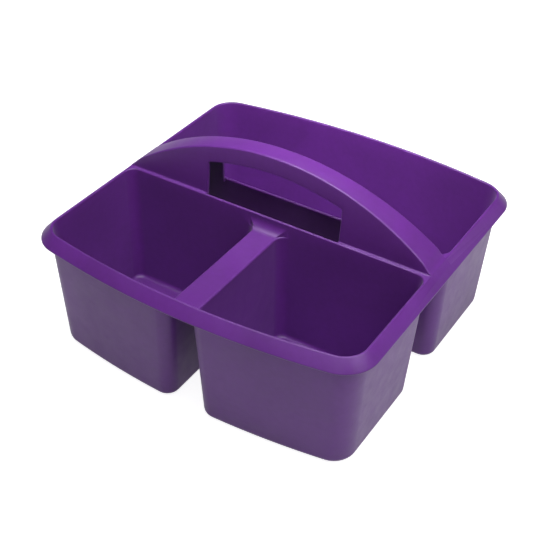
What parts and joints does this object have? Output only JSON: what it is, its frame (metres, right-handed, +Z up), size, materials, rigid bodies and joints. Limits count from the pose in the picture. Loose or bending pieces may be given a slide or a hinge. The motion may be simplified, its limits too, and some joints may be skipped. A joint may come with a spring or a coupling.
{
  "type": "cleaning caddy",
  "caption": "Open-topped moulded caddy with tapered bins, a sloping rim, dividers and an arched carrying handle with a hand opening.",
  "frame": {"origin": "centre of the footprint, on the plane that the bins stand on", "axes": "+Z up; the two small bins are at the front, -Y, and the long bin at the rear, +Y; the handle runs along X"},
  "size_m": [0.2336, 0.2336, 0.1284],
  "materials": {
    "purple_polypropylene": "satin injection-moulded polypropylene"
  },
  "bodies": {
    "root": {"front_left_bin": "purple_polypropylene", "front_right_bin": "purple_polypropylene", "rear_bin": "purple_polypropylene", "rim": "purple_polypropylene", "front_divider": "purple_polypropylene", "front_ledge": "purple_polypropylene", "rear_ledge": "purple_polypropylene", "handle_front_wall": "purple_polypropylene", "handle_rear_wall": "purple_polypropylene", "handle_top_band": "purple_polypropylene"}
  },
  "joints": []
}
